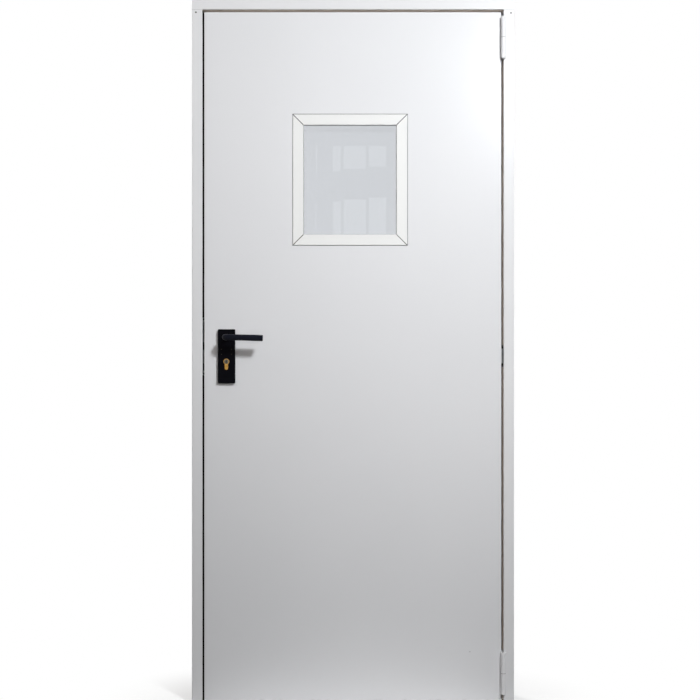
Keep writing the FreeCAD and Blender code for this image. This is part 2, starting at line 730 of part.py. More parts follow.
# Handle plates
def handle_plate(label, face, outward):
    """A plate on one face of the leaf; outward is -1 at the front and 1 at the rear."""
    owner = body(label + "_body", face)
    pad(owner, label + "_pad",
        rectangle(owner, label + "_outline", "XZ_Plane", ("plate_left", "plate_right"),
                  ("plate_bottom", "plate_top")), "plate_thick", reverse=outward > 0)
    rim_y = outward * sizes["plate_thick"]
    ease(owner, "Fillet", "plate_corner", lambda edge: runs(edge, Y_WAY))
    ease(owner, "Chamfer", "plate_edge", lambda edge: abs(edge.CenterOfMass.y - rim_y) < NEAR)
    far = "%s + %d * plate_thick" % (face, outward)
    deep = (far, face) if outward < 0 else (face, far)
    through = (deep[0] + " - overcut", deep[1] + " + overcut")
    seat = (far, far + " + label_depth") if outward < 0 else (far + " - label_depth", far)
    label_z = ("spindle_z - label_drop - label_height / 2", "spindle_z - label_drop + label_height / 2")
    holes = [
        spindle_hole(label + "_neck", through),
        keyhole(label + "_keyhole", through),
    ]
    if outward < 0:
        holes.append(box(label + "_field", ("spindle_x - label_width / 2", "spindle_x + label_width / 2"),
                         (seat[0] + " - overcut", seat[1]), label_z))
    return keep(cut(label + "_cut", owner, holes), label)


handle_plate("handle_plate_front", "front", -1)
handle_plate("handle_plate_rear", "leaf_rear", 1)


# Levers: a neck out of the plate, a tight elbow and a straight round grip with a flat end
def lever(label, face, outward):
    """A round bar swept out of the plate, round the elbow and along the leaf, with a slight droop."""
    owner = body(label + "_body", face)
    path = owner.newObject("Sketcher::SketchObject", label + "_path")
    path.AttachmentSupport = [(plane(owner, "XY_Plane"), "")]
    path.MapMode = "FlatFace"
    root, turn, reach, bend, tip = 10, 30, 40, 10, 100
    path.addGeometry(Part.LineSegment(Vector(0, outward * root, 0), Vector(0, outward * turn, 0)))
    path.addGeometry(Part.LineSegment(Vector(bend, outward * reach, 0), Vector(tip, outward * reach, 0)))
    circle = Part.Circle(Vector(bend, outward * turn, 0), Z_WAY, bend)
    angles = (math.pi, 1.5 * math.pi) if outward < 0 else (0.5 * math.pi, math.pi)
    path.addGeometry(Part.ArcOfCircle(circle, *angles))
    neck_end, grip_end = (1, 2) if outward < 0 else (2, 1)
    path.addConstraint(Sketcher.Constraint("Tangent", 0, 2, 2, neck_end))
    path.addConstraint(Sketcher.Constraint("Tangent", 1, 1, 2, grip_end))
    out = "%d * " % outward
    limits = (
        ("DistanceX", 0, 1, "0", 0),
        ("DistanceY", 0, 1, out + "(plate_thick - neck_depth)", outward * root),
        ("DistanceX", 0, 2, "0", 0),
        ("DistanceX", 1, 1, "lever_elbow", bend),
        ("DistanceY", 1, 1, out + "lever_reach", outward * reach),
        ("DistanceX", 1, 2, "lever_length", tip),
        ("DistanceY", 1, 2, out + "lever_reach", outward * reach),
    )
    for number, (kind, line, end, text, value) in enumerate(limits):
        index = path.addConstraint(Sketcher.Constraint(kind, -1, 1, line, end, value))
        path.renameConstraint(index, "limit%d" % number)
        path.setExpression("Constraints.limit%d" % number, bound(text))
    ring = owner.newObject("Sketcher::SketchObject", label + "_section")
    ring.AttachmentSupport = [(plane(owner, "XZ_Plane"), "")]
    ring.MapMode = "FlatFace"
    ring.setExpression("AttachmentOffset.Base.z", bound("%d * (plate_thick - neck_depth)" % -outward))
    ring.addGeometry(Part.Circle(Vector(), Z_WAY, sizes["lever_radius"]))
    ring.addConstraint(Sketcher.Constraint("Coincident", 0, 3, -1, 1))
    ring.addConstraint(Sketcher.Constraint("Radius", 0, sizes["lever_radius"]))
    ring.renameConstraint(1, "radius")
    ring.setExpression("Constraints.radius", bound("lever_radius"))
    bar = owner.newObject("PartDesign::AdditivePipe", label + "_bar")
    bar.Profile = ring
    bar.Spine = path
    ease(owner, "Chamfer", "lever_edge", lambda edge: abs(edge.CenterOfMass.x - sizes["lever_length"]) < NEAR)
    owner.Placement.Rotation = FreeCAD.Rotation(Y_WAY, sizes["lever_droop"])
    owner.setExpression("Placement.Rotation.Angle", bound("lever_droop"))
    place(owner, "spindle_x", face, "spindle_z")
    return keep(owner, label)


lever("lever_front", "front", -1)
lever("lever_rear", "leaf_rear", 1)
spindle_half = "spindle_side / 2"
keep(box("spindle_block", ("spindle_x - " + spindle_half, "spindle_x + " + spindle_half),
         ("front - plate_thick + neck_depth", "leaf_rear + plate_thick - neck_depth"),
         ("spindle_z - " + spindle_half, "spindle_z + " + spindle_half)), "lever_spindle")


# Window: four mitred trims a side, each a flat face with a lip against the glass; the rear ones are narrower
def trim(side, face_name, face, outward):
    """side gives the two signs of the trim's place; the ends are cut at 45 degrees."""
    label = "window_trim_%s_%s" % (face_name, side)
    owner = body(label + "_body", face)
    sight, border = ("sight", "window_border") if outward < 0 else ("rear_sight", "rear_border")

    def corners(inner, outer):
        far_x, far_z = "(half_x - %s)" % outer, "(half_z - %s)" % outer
        near_x, near_z = "(%s_x + %s)" % (sight, inner), "(%s_z + %s)" % (sight, inner)
        picks = {
            "top": ((-1, 1, far_x, far_z), (1, 1, far_x, far_z), (1, 1, near_x, near_z), (-1, 1, near_x, near_z)),
            "bottom": ((-1, -1, near_x, near_z), (1, -1, near_x, near_z), (1, -1, far_x, far_z),
                       (-1, -1, far_x, far_z)),
            "left": ((-1, -1, far_x, far_z), (-1, -1, near_x, near_z), (-1, 1, near_x, near_z),
                     (-1, 1, far_x, far_z)),
            "right": ((1, -1, near_x, near_z), (1, -1, far_x, far_z), (1, 1, far_x, far_z), (1, 1, near_x, near_z)),
        }
        short_x, short_z = ("mitre_play", "0") if side in ("top", "bottom") else ("0", "mitre_play")
        return [("window_x + %d * (%s - %s)" % (a, x, short_x), "window_z + %d * (%s - %s)" % (b, z, short_z))
                for a, b, x, z in picks[side]]

    out_is_back = outward > 0
    pad(owner, label + "_face", outline(owner, label + "_flat", "XZ_Plane", corners("0", "0")),
        "trim_proud", reverse=out_is_back)
    pad(owner, label + "_lip",
        outline(owner, label + "_lip_flat", "XZ_Plane", corners("0", "(%s - trim_lip)" % border)),
        "trim_lip_depth", reverse=not out_is_back)
    rim_y = outward * sizes["trim_proud"]
    ease(owner, "Chamfer", "trim_bevel",
         lambda edge: (runs(edge, X_WAY) or runs(edge, Z_WAY)) and abs(edge.CenterOfMass.y - rim_y) < NEAR)
    return keep(owner, label)


for face_name, face, outward in (("front", "front", -1), ("rear", "leaf_rear", 1)):
    for side in ("top", "bottom", "left", "right"):
        trim(side, face_name, face, outward)


def ring(label, y, outer, inner):
    """A rectangular ring about the window's middle; outer and inner are half widths and heights."""
    return cut(label, window_hole(label + "_out", y, *outer),
               [window_hole(label + "_in", ("(%s) - overcut" % y[0], "(%s) + overcut" % y[1]), *inner)])


pane_half = ("(glass_x)", "(glass_z)")
keep(window_hole("pane_front", ("glass_front", "glass_front + glass_thick"), *pane_half), "glass_pane_front")
keep(window_hole("pane_rear", ("glass_rear - glass_thick", "glass_rear"), *pane_half), "glass_pane_rear")
keep(ring("spacer", ("glass_front + glass_thick", "glass_rear - glass_thick"),
          ("(glass_x - spacer_inset)", "(glass_z - spacer_inset)"),
          ("(glass_x - spacer_inset - spacer_width)", "(glass_z - spacer_inset - spacer_width)")),
     "glass_spacer")


def glazing_seal(label, y, sight):
    return ring(label, y, *[tuple("(%s_%s %s)" % (sight, way, by) for way in "xz")
                            for by in ("+ seal_cover", "- seal_show")])


keep(group("glazing_pair", [
    glazing_seal("glazing_front", ("front + trim_lip_depth", "glass_front"), "sight"),
    glazing_seal("glazing_rear", ("glass_rear", "leaf_rear - trim_lip_depth"), "rear_sight")]), "glazing_seals")

doc.recompute()

# Every object has to be whole before anything is written.
for thing in doc.Objects:
    for flag in ("Invalid", "Error"):
        if flag in thing.State:
            raise RuntimeError("%s is %s" % (thing.Label, flag))
for node in nodes:
    if node.Shape.isNull() or not node.Shape.isValid() or not node.Shape.Solids:
        raise RuntimeError(node.Label + " has no valid solid")

os.makedirs("parts", exist_ok=True)
for node in nodes:
    node.Shape.exportStep("parts/%s.step" % node.Label)
    box_now = node.Shape.BoundBox
    print("%-28s %d solids, %8.1f x %7.1f x %7.1f" % (
        node.Label, len(node.Shape.Solids), box_now.XLength, box_now.YLength, box_now.ZLength))
print(len(nodes), "nodes")
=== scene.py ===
import math
import bmesh
import bpy
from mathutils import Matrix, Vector


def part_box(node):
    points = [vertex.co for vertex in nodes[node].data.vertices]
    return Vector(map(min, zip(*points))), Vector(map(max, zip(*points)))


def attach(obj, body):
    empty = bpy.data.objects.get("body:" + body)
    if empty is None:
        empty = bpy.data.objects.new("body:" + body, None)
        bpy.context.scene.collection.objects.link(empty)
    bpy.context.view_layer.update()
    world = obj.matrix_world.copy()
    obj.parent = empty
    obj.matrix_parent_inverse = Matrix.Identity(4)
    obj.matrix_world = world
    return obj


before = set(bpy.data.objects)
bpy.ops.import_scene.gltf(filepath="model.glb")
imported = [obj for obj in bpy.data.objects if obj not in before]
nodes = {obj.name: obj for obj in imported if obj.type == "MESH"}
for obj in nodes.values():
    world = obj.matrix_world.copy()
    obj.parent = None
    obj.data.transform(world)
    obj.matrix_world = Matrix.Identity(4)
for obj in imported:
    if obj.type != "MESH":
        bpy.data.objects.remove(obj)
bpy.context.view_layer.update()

mm = 0.001
quarter = math.radians(90)
smoothAngle = math.radians(35)  # sharper edges than this stay crisp
through = 20 * mm  # depth of a cutter, more than what it cuts is thick
nearTop = 0.9  # share of a height above which the top's edges lie
print("door frame loaded:", len(nodes), "nodes")


# Small helpers for modelling with the operators
def selectNothing():
    if bpy.context.object and bpy.context.object.mode != "OBJECT":
        bpy.ops.object.mode_set(mode="OBJECT")
    bpy.ops.object.select_all(action="DESELECT")


def selectOnly(*things):
    selectNothing()
    for thing in things:
        thing.select_set(True)
    bpy.context.view_layer.objects.active = things[0]


def applyPlace():
    bpy.ops.object.transform_apply(location=True, rotation=True, scale=True)


def pickParts(piece, kind, wanted):  # edit mode: selects the faces or edges that pass a test
    bpy.ops.mesh.select_mode(type=kind)
    bpy.ops.mesh.select_all(action="DESELECT")
    mesh = bmesh.from_edit_mesh(piece.data)
    for part in mesh.faces if kind == "FACE" else mesh.edges:
        part.select_set(wanted(part))
    bmesh.update_edit_mesh(piece.data)


def addBox(size, place=(0, 0, 0), turn=(0, 0, 0)):
    bpy.ops.mesh.primitive_cube_add(size=1, location=place, rotation=turn)
    box = bpy.context.object
    box.scale = size
    applyPlace()
    return box


def bevelEdges(piece, wanted, offset, steps):
    selectOnly(piece)
    bpy.ops.object.mode_set(mode="EDIT")
    pickParts(piece, "EDGE", wanted)
    bpy.ops.mesh.bevel(offset=offset, segments=steps, affect="EDGES")
    bpy.ops.object.mode_set(mode="OBJECT")


def runsAlongX(edge, least):
    return abs(edge.verts[0].co.x - edge.verts[1].co.x) > least


def cutOut(piece, cutter):  # boolean difference, then the cutter goes
    selectOnly(piece)
    bpy.ops.object.modifier_add(type="BOOLEAN")
    cut = piece.modifiers[-1]
    cut.operation = "DIFFERENCE"
    cut.solver = "EXACT"
    cut.object = cutter
    bpy.ops.object.modifier_apply(modifier=cut.name)
    bpy.data.objects.remove(cutter)


def settlePiece(piece, name, body, finishName):
    selectOnly(piece)
    applyPlace()
    bpy.ops.object.shade_smooth_by_angle(angle=smoothAngle)
    piece.name = name
    piece.data.name = name
    piece.data.materials.clear()
    piece.data.materials.append(finishes[finishName])
    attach(piece, body)


def copyToSpots(master, spots):  # spots are (place, turn) pairs; the copies end up as one piece
    copies = []
    for place, turn in spots:
        selectOnly(master)
        bpy.ops.object.duplicate()
        copy = bpy.context.object
        copy.location = place
        copy.rotation_euler = turn
        copies.append(copy)
    bpy.data.objects.remove(master)
    selectOnly(*copies)
    applyPlace()
    if len(copies) > 1:
        bpy.ops.object.join()
    return bpy.context.object


# Finishes: colour in soft patches, fine grain in the gloss and in the bump
noiseSpan = (0.3, 0.7)  # where most of the noise lies


def newFinish(name):
    finish = bpy.data.materials.new(name)
    finish.use_nodes = True
    tree = finish.node_tree
    return finish, tree, tree.nodes["Principled BSDF"]


def addNode(tree, kind, **settings):
    node = tree.nodes.new(kind)
    for key, value in settings.items():
        setattr(node, key, value)
    return node


def objectMapping(tree, place=(0, 0, 0), scale=(1, 1, 1)):  # object coordinates, moved and scaled
    where = addNode(tree, "ShaderNodeTexCoord")
    mapping = addNode(tree, "ShaderNodeMapping")
    mapping.inputs["Location"].default_value = place
    mapping.inputs["Scale"].default_value = scale
    tree.links.new(where.outputs["Object"], mapping.inputs["Vector"])
    return mapping.outputs["Vector"]


def spotNoise(tree, scale, detail=2.0, stretch=(1, 1, 1)):
    noise = addNode(tree, "ShaderNodeTexNoise")
    noise.inputs["Scale"].default_value = scale
    noise.inputs["Detail"].default_value = detail
    tree.links.new(objectMapping(tree, scale=stretch), noise.inputs["Vector"])
    return noise.outputs["Fac"]


def blendColours(tree, factor, low, high, spread=noiseSpan):
    ramp = addNode(tree, "ShaderNodeValToRGB")
    for element, position, colour in zip(ramp.color_ramp.elements, spread, (low, high)):
        element.position = position
        element.color = (*colour, 1)
    tree.links.new(factor, ramp.inputs["Fac"])
    return ramp.outputs["Color"]


def multiplyColours(tree, first, second):  # the second is an output or a fixed colour
    mix = addNode(tree, "ShaderNodeMix", data_type="RGBA", blend_type="MULTIPLY")
    mix.inputs["Factor"].default_value = 1
    tree.links.new(first, mix.inputs["A"])
    if isinstance(second, tuple):
        mix.inputs["B"].default_value = second
    else:
        tree.links.new(second, mix.inputs["B"])
    return mix


def addGrain(tree, shader, grain, rough, strength, depth):  # uneven gloss and a fine bump
    span = addNode(tree, "ShaderNodeMapRange")
    span.inputs["From Min"].default_value, span.inputs["From Max"].default_value = noiseSpan
    span.inputs["To Min"].default_value, span.inputs["To Max"].default_value = rough
    tree.links.new(grain, span.inputs["Value"])
    tree.links.new(span.outputs["Result"], shader.inputs["Roughness"])
    bump = addNode(tree, "ShaderNodeBump")
    bump.inputs["Strength"].default_value = strength
    bump.inputs["Distance"].default_value = depth
    tree.links.new(grain, bump.inputs["Height"])
    tree.links.new(bump.outputs["Normal"], shader.inputs["Normal"])


def makeFinish(name, look):
    finish, tree, shader = newFinish(name)
    patches = spotNoise(tree, look["patchScale"], detail=3.0)
    grain = spotNoise(tree, look["grainScale"], stretch=look.get("stretch", (1, 1, 1)))
    colour = blendColours(tree, patches, look["low"], look["high"])
    if "fleck" in look:  # fine specks in the colour, as in foam or paper
        specks = blendColours(tree, grain, (look["fleck"],) * 3, (1, 1, 1), (0.35, 0.6))
        colour = multiplyColours(tree, colour, specks).outputs["Result"]
    tree.links.new(colour, shader.inputs["Base Color"])
    addGrain(tree, shader, grain, look["rough"], look.get("bump", 0.3), look["grainDepth"])
    shader.inputs["Metallic"].default_value = look.get("metal", 0)
    shader.inputs["Specular IOR Level"].default_value = look.get("specular", 0.5)
    return finish


finishLooks = {
    "leafPaint": {"low": (0.690, 0.695, 0.712), "high": (0.712, 0.716, 0.732),
                  "patchScale": 1.6, "grainScale": 520, "grainDepth": 0.00003,
                  "rough": (0.29, 0.36), "bump": 0.35},
    "framePaint": {"low": (0.690, 0.693, 0.706), "high": (0.715, 0.718, 0.728),
                   "patchScale": 2.3, "grainScale": 520, "grainDepth": 0.00003,
                   "rough": (0.29, 0.36), "bump": 0.35},
    "trimPaint": {"low": (0.755, 0.758, 0.750), "high": (0.773, 0.776, 0.767),
                  "patchScale": 6, "grainScale": 700, "grainDepth": 0.00002,
                  "rough": (0.45, 0.55)},
    "plateCoat": {"low": (0.0018, 0.0018, 0.0030), "high": (0.0030, 0.0030, 0.0046),
                  "patchScale": 30, "grainScale": 900, "grainDepth": 0.00005,
                  "rough": (0.42, 0.55), "bump": 0.5, "specular": 0.03},
    "leverCoat": {"low": (0.0025, 0.0033, 0.0078), "high": (0.0038, 0.0048, 0.0105),
                  "patchScale": 25, "grainScale": 900, "grainDepth": 0.00003,
                  "rough": (0.34, 0.46), "bump": 0.4, "specular": 0.08},
    "keeperPlastic": {"low": (0.020, 0.019, 0.018), "high": (0.030, 0.028, 0.026),
                      "patchScale": 40, "grainScale": 800, "grainDepth": 0.00004,
                      "rough": (0.5, 0.6), "specular": 0.3},
    "sealRubber": {"low": (0.016, 0.016, 0.017), "high": (0.026, 0.026, 0.027),
                   "patchScale": 12, "grainScale": 900, "grainDepth": 0.00005,
                   "rough": (0.6, 0.75), "specular": 0.3},
    # gap strips: brown, raised to a pale tone as painted light since they sit in shaded gaps; the
    # lock-side strip is black as painted shade
    "brownStripPaintedLight": {"low": (0.76, 0.655, 0.57), "high": (0.84, 0.735, 0.65),
                   "patchScale": 9, "grainScale": 700, "grainDepth": 0.00006,
                   "rough": (0.75, 0.9), "specular": 0.2, "fleck": 0.8},
    "stripPaintedShade": {"low": (0.006, 0.005, 0.0045), "high": (0.012, 0.010, 0.009),
                  "patchScale": 9, "grainScale": 700, "grainDepth": 0.00006,
                  "rough": (0.75, 0.9), "specular": 0.02},
    "glazingRubber": {"low": (0.040, 0.041, 0.043), "high": (0.055, 0.056, 0.058),
                      "patchScale": 20, "grainScale": 900, "grainDepth": 0.00004,
                      "rough": (0.6, 0.7), "specular": 0.3},
    "greyTape": {"low": (0.26, 0.261, 0.263), "high": (0.31, 0.311, 0.313),
                 "patchScale": 12, "grainScale": 900, "grainDepth": 0.00003,
                 "rough": (0.55, 0.65), "specular": 0.3},
    "jointFiller": {"low": (0.48, 0.482, 0.485), "high": (0.54, 0.542, 0.545),
                    "patchScale": 12, "grainScale": 900, "grainDepth": 0.00003,
                    "rough": (0.55, 0.65), "specular": 0.3},
    # painted shade: a darker tape for the top band, which the lamp lights most
    "tapePaintedShade": {"low": (0.030, 0.030, 0.029), "high": (0.05, 0.05, 0.048),
                  "patchScale": 25, "grainScale": 900, "grainDepth": 0.00003,
                  "rough": (0.65, 0.8), "specular": 0.2},
    "zincSteel": {"low": (0.46, 0.46, 0.47), "high": (0.62, 0.62, 0.63),
                  "patchScale": 45, "grainScale": 350, "grainDepth": 0.00002,
                  "rough": (0.34, 0.5), "metal": 1},
    # black zinc for the strike plate; on the pins in the key slot this black is painted shade
    "blackZincAndSlotShade": {"low": (0.004, 0.004, 0.0035), "high": (0.008, 0.0075, 0.007),
                  "patchScale": 45, "grainScale": 350, "grainDepth": 0.00002,
                  "rough": (0.7, 0.85), "specular": 0.02},
    "groundSteel": {"low": (0.55, 0.55, 0.555), "high": (0.64, 0.64, 0.645),
                    "patchScale": 30, "grainScale": 260, "stretch": (1, 1, 14),
                    "grainDepth": 0.00002, "rough": (0.22, 0.34), "metal": 1},
    "brassMetal": {"low": (0.38, 0.21, 0.050), "high": (0.50, 0.285, 0.078),
                   "patchScale": 120, "grainScale": 900, "grainDepth": 0.00001,
                   "rough": (0.24, 0.36), "metal": 1},
    "plugNickel": {"low": (0.09, 0.080, 0.058), "high": (0.17, 0.155, 0.12),
                   "patchScale": 150, "grainScale": 900, "grainDepth": 0.00001,
                   "rough": (0.15, 0.25), "metal": 1},
    "corePaper": {"low": (0.42, 0.33, 0.22), "high": (0.52, 0.42, 0.29),
                  "patchScale": 14, "grainScale": 250, "grainDepth": 0.0002,
                  "rough": (0.8, 0.95), "fleck": 0.7},
    "spacerMetal": {"low": (0.55, 0.56, 0.57), "high": (0.64, 0.65, 0.66),
                    "patchScale": 20, "grainScale": 400, "stretch": (1, 1, 8),
                    "grainDepth": 0.00002, "rough": (0.3, 0.42), "metal": 1},
    "anodisedScrew": {"low": (0.50, 0.50, 0.49), "high": (0.62, 0.62, 0.60),
                      "patchScale": 200, "grainScale": 900, "grainDepth": 0.00002,
                      "rough": (0.28, 0.4), "metal": 1},
    "darkScrew": {"low": (0.10, 0.10, 0.10), "high": (0.16, 0.16, 0.155),
                  "patchScale": 200, "grainScale": 900, "grainDepth": 0.00002,
                  "rough": (0.4, 0.5), "metal": 0.6},
    "bronzeRivet": {"low": (0.030, 0.024, 0.014), "high": (0.050, 0.040, 0.022),
                    "patchScale": 300, "grainScale": 900, "grainDepth": 0.00001,
                    "rough": (0.35, 0.45), "metal": 0.7},
}
finishes = {name: makeFinish(name, look) for name, look in finishLooks.items()}

# A small grey scuff low on the front of the leaf
scuff = {"place": (-0.1320, -0.045, -0.8445), "size": (0.0038, 0.01, 0.0026),
         "shade": (0.60, 0.60, 0.59, 1)}
leafTree = finishes["leafPaint"].node_tree
paintColour = leafTree.nodes["Principled BSDF"].inputs["Base Color"]
scuffSpot = addNode(leafTree, "ShaderNodeTexGradient", gradient_type="SPHERICAL")
scuffPlace = [-place / size for place, size in zip(scuff["place"], scuff["size"])]
scuffScale = [1 / size for size in scuff["size"]]
leafTree.links.new(objectMapping(leafTree, scuffPlace, scuffScale), scuffSpot.inputs["Vector"])
scuffMix = multiplyColours(leafTree, paintColour.links[0].from_socket, scuff["shade"])
leafTree.links.new(scuffSpot.outputs["Fac"], scuffMix.inputs["Factor"])
leafTree.links.new(scuffMix.outputs["Result"], paintColour)

# Clear glass with a faint haze and a slight waviness
glassLook = {"low": (0.775, 0.789, 0.810), "high": (0.785, 0.797, 0.818), "hazeScale": 3.0,
             "waveScale": 4, "waveDepth": 0.000002, "bump": 0.05, "rough": (0.0, 0.004),
             "ior": 1.5}
glassFinish, glassTree, glassShader = newFinish("clearGlass")
glassHaze = spotNoise(glassTree, glassLook["hazeScale"])
glassTint = blendColours(glassTree, glassHaze, glassLook["low"], glassLook["high"])
glassTree.links.new(glassTint, glassShader.inputs["Base Color"])
addGrain(glassTree, glassShader, spotNoise(glassTree, glassLook["waveScale"]),
         glassLook["rough"], glassLook["bump"], glassLook["waveDepth"])
glassShader.inputs["IOR"].default_value = glassLook["ior"]
glassShader.inputs["Transmission Weight"].default_value = 1
finishes["clearGlass"] = glassFinish

nodeFinishes = {
    "leafPaint": ["leaf_front_sheet", "leaf_rear_sheet"],
    "framePaint": ["frame_head", "frame_jamb_lock_side", "frame_jamb_hinge_side",
                   "hinge_frame_knuckle_top", "hinge_frame_knuckle_bottom",
                   "hinge_leaf_knuckle_top", "hinge_leaf_knuckle_bottom"],
    "trimPaint": [name for name in nodes if name.startswith("window_trim_")],
    "plateCoat": ["handle_plate_front", "handle_plate_rear"],
    "leverCoat": ["lever_front", "lever_rear"],
    "keeperPlastic": ["dog_bolt_keeper", "hinge_washers"],
    "sealRubber": ["frame_seal_head", "frame_seal_lock_side", "frame_seal_hinge_side"],
    # strips in the gaps: painted light on the head and hinge side, painted shade on the lock side
    "brownStripPaintedLight": ["frame_strip_head", "frame_strip_hinge_side"],
    "stripPaintedShade": ["frame_strip_lock_side"],
    "glazingRubber": ["glazing_seals"],
    "zincSteel": ["leaf_bottom_channel", "lock_faceplate", "lock_case", "dog_bolt"],
    "blackZincAndSlotShade": ["strike_plate"],
    "groundSteel": ["latch_bolt", "deadbolt", "lever_spindle", "hinge_pins"],
    "brassMetal": ["lock_cylinder"],
    "corePaper": ["leaf_core"],
    "spacerMetal": ["glass_spacer"],
    "clearGlass": ["glass_pane_front", "glass_pane_rear"],
}
unpainted = set(nodes)
for finishName, names in nodeFinishes.items():
    for name in names:
        nodes[name].data.materials.clear()
        nodes[name].data.materials.append(finishes[finishName])
        unpainted.discard(name)
print("finishes on the door's parts, left over:", sorted(unpainted))


# Screws and rivets: one head is modelled, then copied to its spots
facing = {  # turns that point a head's +Z out of a face
    "front": (quarter, 0, 0),
    "rear": (-quarter, 0, 0),
    "right": (0, quarter, 0),
    "left": (0, -quarter, 0),
    "down": (2 * quarter, 0, 0),
}
screwHead = {"sides": 24, "bevel": 0.45, "steps": 3}  # bevel is a share of the height
rivetHead = {"sides": 20, "bevel": 0.8, "steps": 4}
crossRecess = {"long": 1.0, "wide": 0.26, "tall": 0.9}  # shares of the radius and the height


def roundHead(plan, shape):  # a head along +Z with its foot at 0 and its top edge rounded
    height = plan["height"]
    bpy.ops.mesh.primitive_cylinder_add(vertices=shape["sides"], radius=plan["radius"],
                                        depth=height, location=(0, 0, height / 2))
    head = bpy.context.object
    applyPlace()
    bevelEdges(head, lambda edge: all(vert.co.z > height * nearTop for vert in edge.verts),
               height * shape["bevel"], shape["steps"])
    return head


def crossHead(plan):
    screw = roundHead(plan, screwHead)
    blade = (plan["radius"] * crossRecess["long"], plan["radius"] * crossRecess["wide"],
             plan["height"] * crossRecess["tall"])
    for turn in (0, quarter):
        cutOut(screw, addBox(blade, (0, 0, plan["height"]), (0, 0, turn)))
    return screw


def addScrews(name, body, finishName, plan, spots):
    screws = copyToSpots(crossHead(plan), spots)
    settlePiece(screws, name, body, finishName)


def addRivets(name, body, finishName, plan, spots):
    rivets = copyToSpots(roundHead(plan, rivetHead), spots)
    settlePiece(rivets, name, body, finishName)


jambLow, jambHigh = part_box("frame_jamb_lock_side")
leafFrontY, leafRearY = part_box("leaf_front_sheet")[0].y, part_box("leaf_rear_sheet")[1].y

cornerRivets = {
    "radius": 2.7 * mm, "height": 0.8 * mm, "sunk": 0.1 * mm,
    "spots": ((-9.2, 1058.8), (-948.0, 1060.4)),  # X and Z on the frame's face, in mm
}
addRivets("cornerRivets", "frame", "darkScrew", cornerRivets,
          [((x * mm, jambLow.y + cornerRivets["sunk"], z * mm), facing["front"])
           for x, z in cornerRivets["spots"]])

# The filled joint between the head and each jamb
cornerSeams = {"long": 31 * mm, "wide": 1.2 * mm, "proud": 0.12 * mm, "round": 0.1 * mm,
               "middles": (-15.5, -944.5)}
seam = addBox((cornerSeams["long"], 2 * cornerSeams["proud"], cornerSeams["wide"]))
bevelEdges(seam, lambda edge: all(vert.co.y < 0 for vert in edge.verts)
           and runsAlongX(edge, cornerSeams["long"] / 2), cornerSeams["round"], 2)
seams = copyToSpots(seam, [((x * mm, jambLow.y, jambHigh.z), (0, 0, 0))
                           for x in cornerSeams["middles"]])
settlePiece(seams, "cornerSeams", "frame", "jointFiller")

hingeScrews = {"radius": 3.2 * mm, "height": 0.8 * mm, "depths": (-31, -18),
               "inset": 11 * mm, "faces": {"frame": -33.5 * mm, "leaf": -35.5 * mm}}
for body, face in (("frame", "left"), ("leaf", "right")):
    spots = []
    for place in ("top", "bottom"):
        low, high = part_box("hinge_%s_knuckle_%s" % (body, place))
        for z in (low.z + hingeScrews["inset"], high.z - hingeScrews["inset"]):
            for y in hingeScrews["depths"]:
                spots.append(((hingeScrews["faces"][body], y * mm, z), facing[face]))
    addScrews(body + "HingeScrews", body, "anodisedScrew", hingeScrews, spots)

lockScrews = {"radius": 3.4 * mm, "height": 0.5 * mm, "inset": 9 * mm, "sunk": 0.05 * mm}
faceplateLow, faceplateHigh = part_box("lock_faceplate")
strikeLow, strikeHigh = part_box("strike_plate")
lockY = (faceplateLow.y + faceplateHigh.y) / 2
addScrews("faceplateScrews", "leaf", "anodisedScrew", lockScrews,
          [((faceplateLow.x + lockScrews["sunk"], lockY, z), facing["left"])
           for z in (faceplateLow.z + lockScrews["inset"],
                     faceplateHigh.z - lockScrews["inset"])])
addScrews("strikeScrews", "frame", "anodisedScrew", lockScrews,
          [((strikeHigh.x - lockScrews["sunk"], lockY, z), facing["right"])
           for z in (strikeLow.z + lockScrews["inset"], strikeHigh.z - lockScrews["inset"])])

# The brass rim round the strike plate's deadbolt hole
boltRim = {"wide": 17 * mm, "tall": 40 * mm, "wall": 1.2 * mm, "proud": 0.3 * mm,
           "middle": 34 * mm, "corner": 2.5 * mm}
rimPlace = (strikeHigh.x, lockY, boltRim["middle"])
rim = addBox((2 * boltRim["proud"], boltRim["wide"] + 2 * boltRim["wall"],
              boltRim["tall"] + 2 * boltRim["wall"]), rimPlace)
bevelEdges(rim, lambda edge: runsAlongX(edge, boltRim["proud"]), boltRim["corner"], 4)
cutOut(rim, addBox((through, boltRim["wide"], boltRim["tall"]), rimPlace))
settlePiece(rim, "deadboltRim", "frame", "bronzeRivet")

dogRivets = {"radius": 1.7 * mm, "height": 0.8 * mm, "plate": 1 * mm,
             "aside": 5 * mm, "rise": 15 * mm}
dogLow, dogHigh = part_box("dog_bolt")
dogY, dogZ = (dogLow.y + dogHigh.y) / 2, (dogLow.z + dogHigh.z) / 2
addRivets("dogBoltRivets", "leaf", "anodisedScrew", dogRivets,
          [((dogLow.x + dogRivets["plate"], dogY + side * dogRivets["aside"],
             dogZ + end * dogRivets["rise"]), facing["right"])
           for side in (-1, 1) for end in (-1, 1)])

keeperRivets = {"radius": 1.4 * mm, "height": 0.5 * mm, "inset": 2.5 * mm, "sunk": 0.05 * mm}
keeperLow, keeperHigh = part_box("dog_bolt_keeper")
addRivets("keeperRivets", "frame", "anodisedScrew", keeperRivets,
          [((keeperLow.x + keeperRivets["sunk"], y, z), facing["left"])
           for y in (keeperLow.y + keeperRivets["inset"], keeperHigh.y - keeperRivets["inset"])
           for z in (keeperLow.z + keeperRivets["inset"], keeperHigh.z - keeperRivets["inset"])])
print("screws and rivets of the frame and leaf edges")


# Handle set: studs of the label field, screws of the rear plate, grub screws of the levers
plateLow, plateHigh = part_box("handle_plate_front")
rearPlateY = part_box("handle_plate_rear")[1].y
spindleX, spindleZ = (plateLow.x + plateHigh.x) / 2, 92 * mm

